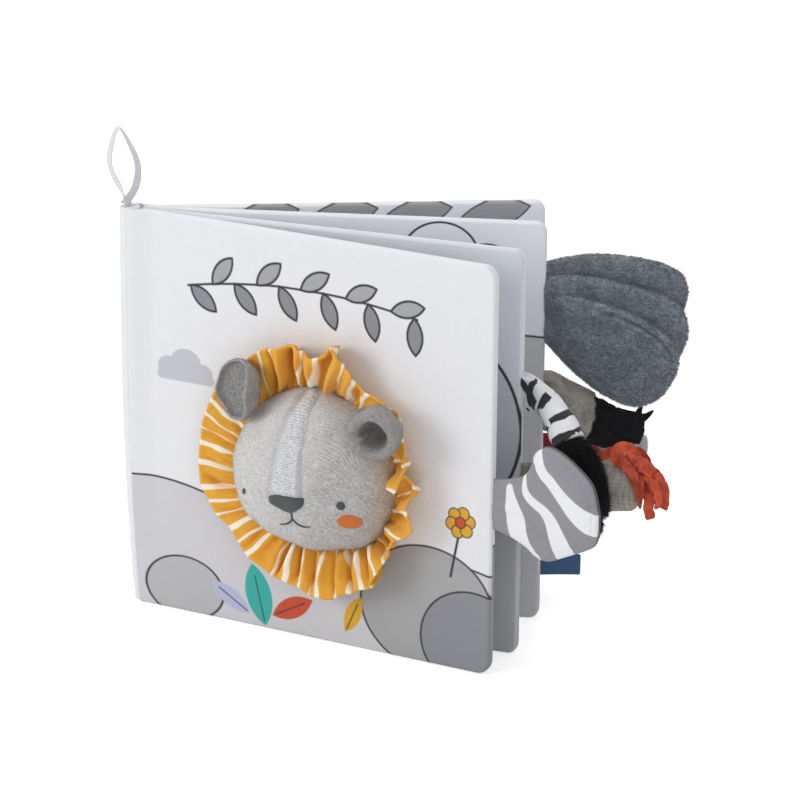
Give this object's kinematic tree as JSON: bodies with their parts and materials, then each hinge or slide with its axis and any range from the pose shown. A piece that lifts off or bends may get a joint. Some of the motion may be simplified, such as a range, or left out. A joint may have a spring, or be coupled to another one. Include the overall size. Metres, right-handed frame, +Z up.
{
  "type": "crinkle cloth book",
  "caption": "Square stuffed cloth book standing open on a round cloth spine, with hinged pages, a plush lion's head on its cover and stuffed animal tails in its fore edges.",
  "frame": {"origin": "on the spine's axis, in the plane that the book stands on", "axes": "+Z up along the spine, +X along the back cover from the spine to its fore edge, -Y towards the side to which the front cover and its lion open"},
  "size_m": [0.2625, 0.1475, 0.2263],
  "materials": {
    "cover_cloth": "printed white polyester cloth",
    "page_cloth": "printed pale polyester cloth",
    "crinkle_film": "thin crackling film",
    "stuffing": "loose polyester filling",
    "loop_ribbon": "ribbed woven ribbon",
    "label_ribbon": "woven navy ribbon",
    "red_velour": "red velour",
    "white_plush": "white plush",
    "plume_velour": "dark grey short velour",
    "grey_suede": "grey-brown suede cloth",
    "black_felt": "black felt",
    "zebra_cloth": "white cloth printed with black bars",
    "black_fur": "black fur",
    "linen": "coarse grey linen weave",
    "orange_felt": "orange-red felt",
    "lion_velour": "grey short velour",
    "stripe_cloth": "white ribbed cloth",
    "dark_embroidery": "dark grey satin stitch",
    "orange_embroidery": "orange satin stitch",
    "mane_cloth": "mustard cloth with cream bars",
    "paddle_cloth": "grey cloth with wavy white bars"
  },
  "bodies": {
    "back_cover": {"back_cover_front_cloth": "page_cloth", "back_cover_back_cloth": "cover_cloth", "back_cover_crinkle_film": "crinkle_film", "back_cover_wadding": "stuffing", "spine_cloth": "cover_cloth", "spine_seam_core": "stuffing", "hanging_loop": "loop_ribbon", "side_label": "label_ribbon"},
    "leaf_two": {"leaf_two_front_cloth": "page_cloth", "leaf_two_back_cloth": "page_cloth", "leaf_two_crinkle_film": "crinkle_film", "leaf_two_wadding": "stuffing"},
    "leaf_one": {"leaf_one_front_cloth": "page_cloth", "leaf_one_back_cloth": "page_cloth", "leaf_one_crinkle_film": "crinkle_film", "leaf_one_wadding": "stuffing"},
    "front_cover": {"front_cover_front_cloth": "cover_cloth", "front_cover_back_cloth": "page_cloth", "front_cover_crinkle_film": "crinkle_film", "front_cover_wadding": "stuffing", "lion_head_left": "lion_velour", "lion_head_right": "lion_velour", "lion_forehead_stripe": "stripe_cloth", "lion_head_stuffing": "stuffing", "lion_nose": "dark_embroidery", "lion_mouth_stitching": "dark_embroidery", "lion_eye_left": "dark_embroidery", "lion_eye_right": "dark_embroidery", "lion_cheek_left": "orange_embroidery", "lion_cheek_right": "orange_embroidery", "lion_ear_left": "lion_velour", "lion_ear_right": "lion_velour", "lion_mane_ruffle": "mane_cloth"},
    "red_tail": {"red_tail_sleeve": "red_velour", "red_tail_stuffing": "stuffing", "red_tail_white_tip": "white_plush"},
    "plume": {"plume_front_lobe": "plume_velour", "plume_front_stuffing": "stuffing", "plume_middle_lobe": "plume_velour", "plume_middle_stuffing": "stuffing", "plume_back_lobe": "plume_velour", "plume_back_stuffing": "stuffing"},
    "grey_tail": {"grey_tail_sleeve": "grey_suede", "grey_tail_stuffing": "stuffing", "grey_tail_felt_tuft": "black_felt"},
    "zebra_tail": {"zebra_tail_sleeve": "zebra_cloth", "zebra_tail_stuffing": "stuffing", "zebra_tail_fur_tuft": "black_fur"},
    "linen_tail": {"linen_tail_sleeve": "linen", "linen_tail_stuffing": "stuffing", "linen_tail_felt_fringe": "orange_felt"},
    "striped_paddle": {"striped_paddle_front_cloth": "paddle_cloth", "striped_paddle_back_cloth": "paddle_cloth", "striped_paddle_filling": "stuffing"}
  },
  "joints": [
    {"name": "leaf_two_hinge", "type": "hinge", "parent": "back_cover", "child": "leaf_two", "pos_m": [0, 0, 0.095], "axis": [0, 0, -1], "range_deg": [-4.5, 48.5]},
    {"name": "leaf_one_hinge", "type": "hinge", "parent": "leaf_two", "child": "leaf_one", "pos_m": [0, 0, 0.095], "axis": [0, 0, -1], "range_deg": [-7.5, 45.5]},
    {"name": "front_cover_hinge", "type": "hinge", "parent": "leaf_one", "child": "front_cover", "pos_m": [0, 0, 0.095], "axis": [0, 0, -1], "range_deg": [-0.5, 171]},
    {"name": "red_tail_swing", "type": "hinge", "parent": "back_cover", "child": "red_tail", "pos_m": [0.1912, 0, 0.07], "axis": [0, 0, 1], "range_deg": [0, 60]},
    {"name": "plume_swing", "type": "hinge", "parent": "leaf_two", "child": "plume", "pos_m": [0.18736, -0.03812, 0.155], "axis": [0, 0, 1], "range_deg": [0, 40]},
    {"name": "grey_tail_swing", "type": "hinge", "parent": "leaf_two", "child": "grey_tail", "pos_m": [0.18736, -0.03812, 0.106], "axis": [0, 0, 1], "range_deg": [0, 40]},
    {"name": "zebra_tail_swing", "type": "hinge", "parent": "leaf_one", "child": "zebra_tail", "pos_m": [0.17185, -0.08382, 0.1245], "axis": [0, 0, -1], "range_deg": [0, 10]},
    {"name": "linen_tail_swing", "type": "hinge", "parent": "leaf_one", "child": "linen_tail", "pos_m": [0.17185, -0.08382, 0.078], "axis": [0, 0, 1], "range_deg": [0, 12]},
    {"name": "striped_paddle_swing", "type": "hinge", "parent": "front_cover", "child": "striped_paddle", "pos_m": [0.15662, -0.10967, 0.0845], "axis": [0, 0, -1], "range_deg": [0, 60]}
  ]
}
